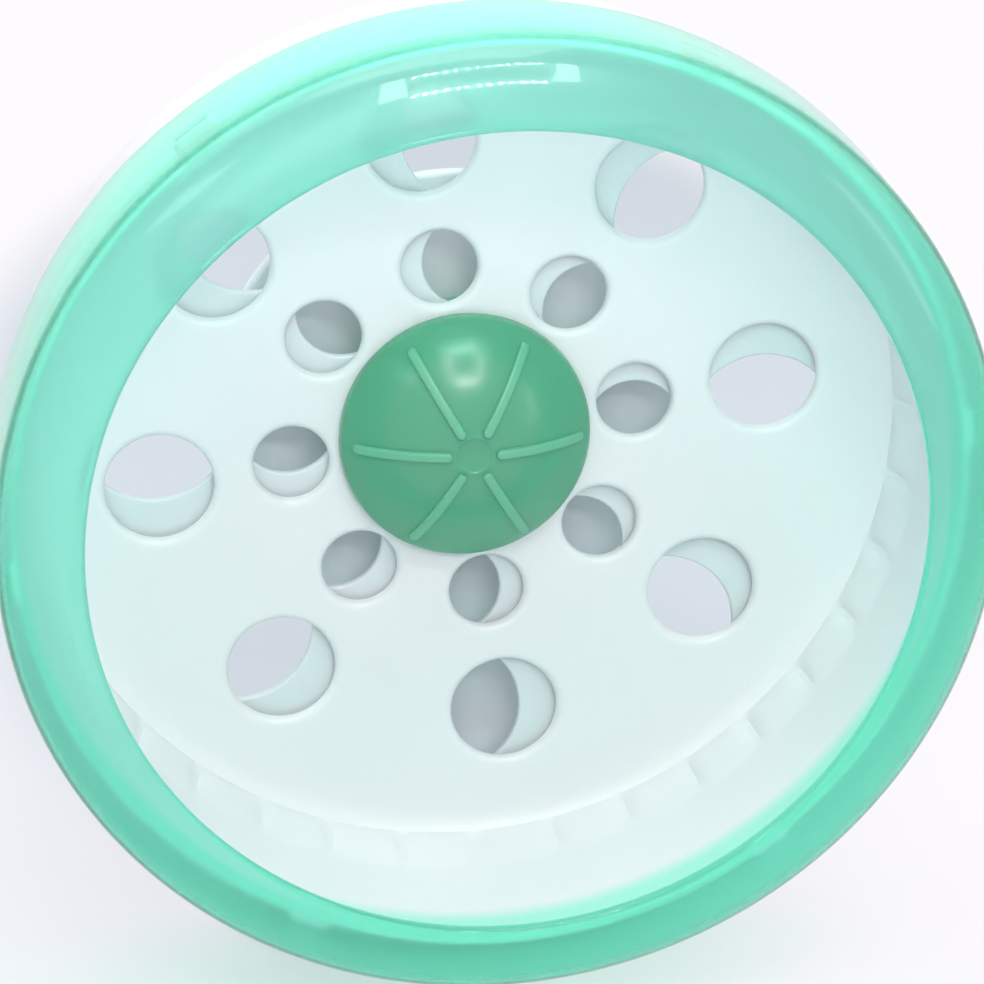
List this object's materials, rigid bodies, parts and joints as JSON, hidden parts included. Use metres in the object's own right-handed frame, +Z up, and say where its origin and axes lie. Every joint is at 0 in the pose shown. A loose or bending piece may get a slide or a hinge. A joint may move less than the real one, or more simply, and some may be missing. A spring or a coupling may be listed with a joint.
{
  "type": "small animal exercise wheel",
  "caption": "Open-fronted running wheel for a small pet, with a clear front ring, a treaded drum, a perforated back and a domed hub, turning on ball bearings on a rear stand.",
  "frame": {"origin": "on the floor, under the middle of the object's bounding box", "axes": "+Z up, +Y from the open front to the stand behind, +X to the right seen from the front"},
  "size_m": [0.21, 0.1484, 0.222],
  "materials": {
    "clear_mint": "clear, glossy, tinted mint",
    "white_plastic": "satin moulded",
    "green_plastic": "satin moulded",
    "bearing_steel": "ground",
    "zinc_steel": "zinc plated",
    "cage_nylon": "natural nylon",
    "grey_rubber": "matt"
  },
  "bodies": {
    "stand": {"stand_post": "white_plastic", "base": "white_plastic", "nut_cover": "green_plastic", "axle_bolt": "zinc_steel", "lock_nut": "zinc_steel", "lock_washer": "zinc_steel", "rear_spacer": "zinc_steel", "spacer_sleeve": "zinc_steel", "front_washer": "zinc_steel", "front_bearing_inner_race": "bearing_steel", "rear_bearing_inner_race": "bearing_steel", "base_screw_1": "zinc_steel", "base_screw_2": "zinc_steel", "foot_front_left": "grey_rubber", "foot_front_right": "grey_rubber", "foot_rear_left": "grey_rubber", "foot_rear_right": "grey_rubber"},
    "wheel": {"front_ring": "clear_mint", "running_drum": "white_plastic", "rear_plate": "white_plastic", "hub_cap": "green_plastic", "hub_housing": "green_plastic", "hub_screw_1": "zinc_steel", "hub_screw_2": "zinc_steel", "hub_screw_3": "zinc_steel", "hub_screw_4": "zinc_steel", "front_bearing_outer_race": "bearing_steel", "front_bearing_front_shield": "zinc_steel", "front_bearing_rear_shield": "zinc_steel", "rear_bearing_outer_race": "bearing_steel", "rear_bearing_front_shield": "zinc_steel", "rear_bearing_rear_shield": "zinc_steel"},
    "front_rolling_set": {"front_bearing_cage": "cage_nylon", "front_bearing_ball_1": "bearing_steel", "front_bearing_ball_2": "bearing_steel", "front_bearing_ball_3": "bearing_steel", "front_bearing_ball_4": "bearing_steel", "front_bearing_ball_5": "bearing_steel", "front_bearing_ball_6": "bearing_steel", "front_bearing_ball_7": "bearing_steel"},
    "rear_rolling_set": {"rear_bearing_cage": "cage_nylon", "rear_bearing_ball_1": "bearing_steel", "rear_bearing_ball_2": "bearing_steel", "rear_bearing_ball_3": "bearing_steel", "rear_bearing_ball_4": "bearing_steel", "rear_bearing_ball_5": "bearing_steel", "rear_bearing_ball_6": "bearing_steel", "rear_bearing_ball_7": "bearing_steel"}
  },
  "joints": [
    {"name": "wheel_spin", "type": "hinge", "parent": "stand", "child": "wheel", "pos_m": [0, 0, 0.117], "axis": [0, 1, 0], "continuous": true},
    {"name": "front_balls_roll", "type": "hinge", "parent": "stand", "child": "front_rolling_set", "pos_m": [0, -0.00795, 0.117], "axis": [0, 1, 0], "continuous": true},
    {"name": "rear_balls_roll", "type": "hinge", "parent": "stand", "child": "rear_rolling_set", "pos_m": [0, 0.00465, 0.117], "axis": [0, 1, 0], "continuous": true}
  ],
  "couplings": [
    {"joint": "front_balls_roll", "follows": "wheel_spin", "ratio": 0.63},
    {"joint": "rear_balls_roll", "follows": "wheel_spin", "ratio": 0.63}
  ]
}
